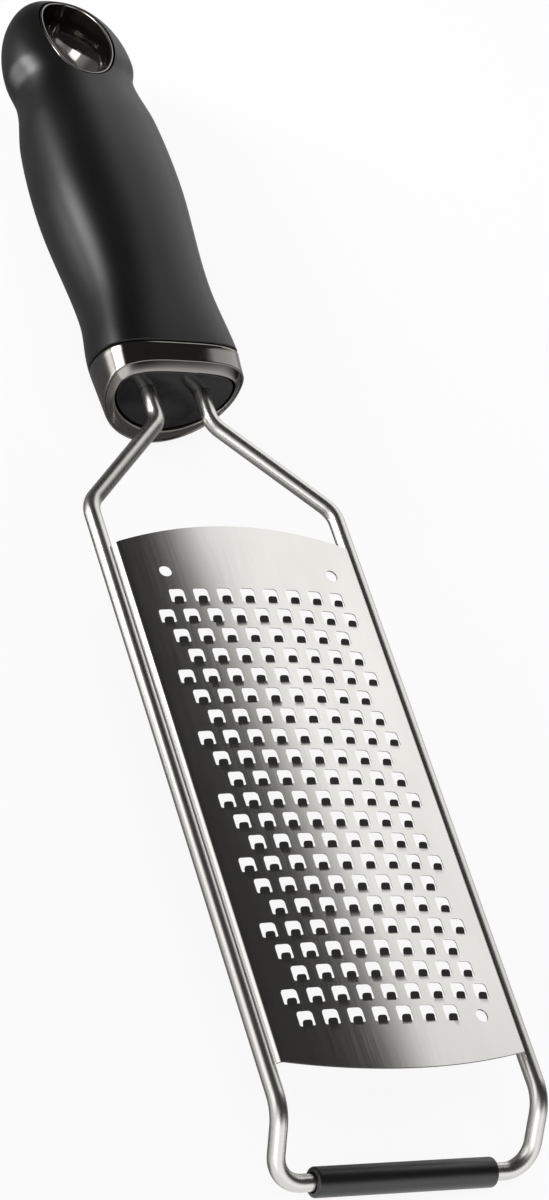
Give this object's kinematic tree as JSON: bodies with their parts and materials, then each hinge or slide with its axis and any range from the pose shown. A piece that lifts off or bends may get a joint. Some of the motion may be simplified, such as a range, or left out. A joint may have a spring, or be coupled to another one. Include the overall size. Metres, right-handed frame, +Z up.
{
  "type": "coarse grater",
  "caption": "Hand-held coarse grater: an arched toothed steel blade in a bent-rod frame with a rubber foot sleeve and a contoured black handle with a hanging hole.",
  "frame": {"origin": "on the table under the middle of the box, the grater lying face up on its foot sleeve and the belly of its grip", "axes": "+Y from the foot to the handle, +Z up out of the toothed face, X across"},
  "size_m": [0.066, 0.3202, 0.0303],
  "materials": {
    "satin_steel": "satin stainless sheet",
    "polished_steel": "polished stainless rod",
    "black_rubber": "matte",
    "black_chrome": "dark mirror plating",
    "gloss_black": "gloss",
    "black_plastic": "as moulded",
    "soft_touch_black": "soft-touch, matte with broad sheen"
  },
  "bodies": {
    "root": {"grater_blade": "satin_steel", "wire_frame": "polished_steel", "foot_sleeve": "black_rubber", "collar": "black_chrome", "end_plug": "gloss_black", "handle_core": "black_plastic", "grip": "soft_touch_black", "hang_eyelet": "black_chrome"}
  },
  "joints": []
}
